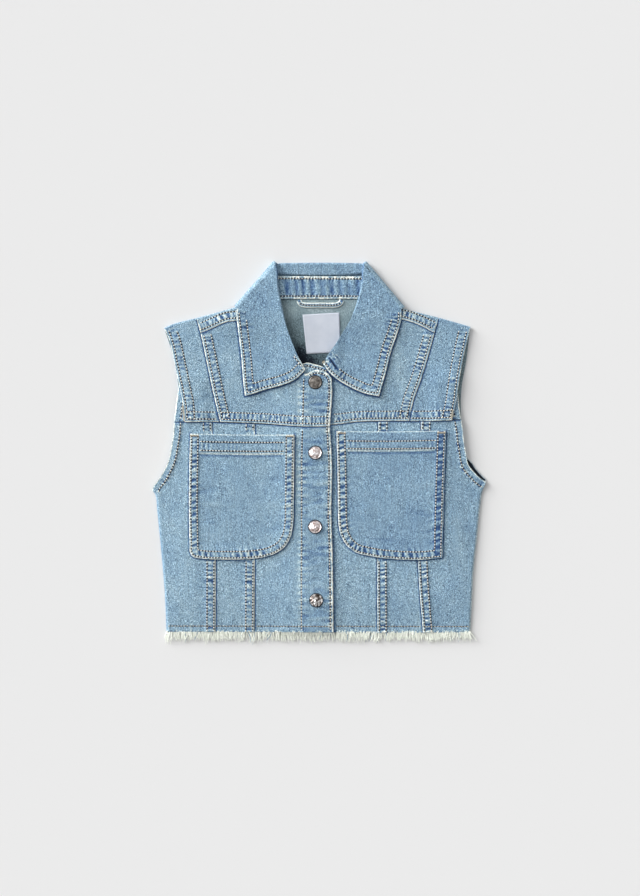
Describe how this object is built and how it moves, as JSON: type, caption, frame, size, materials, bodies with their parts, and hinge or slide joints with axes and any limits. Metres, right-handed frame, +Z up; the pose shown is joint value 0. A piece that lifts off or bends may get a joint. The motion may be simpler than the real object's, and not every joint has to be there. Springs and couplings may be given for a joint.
{
  "type": "child's denim vest, laid flat",
  "caption": "Sleeveless cropped denim vest with a turned-down collar, patch pockets, snap placket and raw frayed hem, laid flat and snapped shut",
  "frame": {"origin": "on the flat underside of the back, on the placket's side of the middle, 180 mm above the cut hem", "axes": "+X to the viewer's right, +Y from the hem to the collar, +Z up from the table through the front"},
  "size_m": [0.3343, 0.3804, 0.0114],
  "materials": {
    "denim": "washed light blue twill, paler at the seams, with dark puckers",
    "threads": "loose cream weft and pale blue warp",
    "label": "white woven tape, unprinted",
    "metal": "antiqued nickel, satin, bare"
  },
  "bodies": {
    "root": {"back_body": "denim", "back_yoke": "denim", "shoulder_panel_left": "denim", "shoulder_panel_right": "denim", "under_yoke_left": "denim", "under_yoke_right": "denim", "front_yoke_left": "denim", "front_yoke_right": "denim", "side_panel_left": "denim", "side_panel_right": "denim", "middle_panel_left": "denim", "middle_panel_right": "denim", "centre_panel_left": "denim", "centre_panel_right": "denim", "pocket_left": "denim", "pocket_right": "denim", "collar_stand_left": "denim", "collar_stand_right": "denim", "collar_stand_back": "denim", "collar_fall": "denim", "hanger_loop": "denim", "neck_label": "label", "snap_1": "metal", "snap_2": "metal", "snap_3": "metal", "snap_4": "metal", "fray_left": "threads", "fray_right": "threads", "fray_back": "threads"}
  },
  "joints": []
}
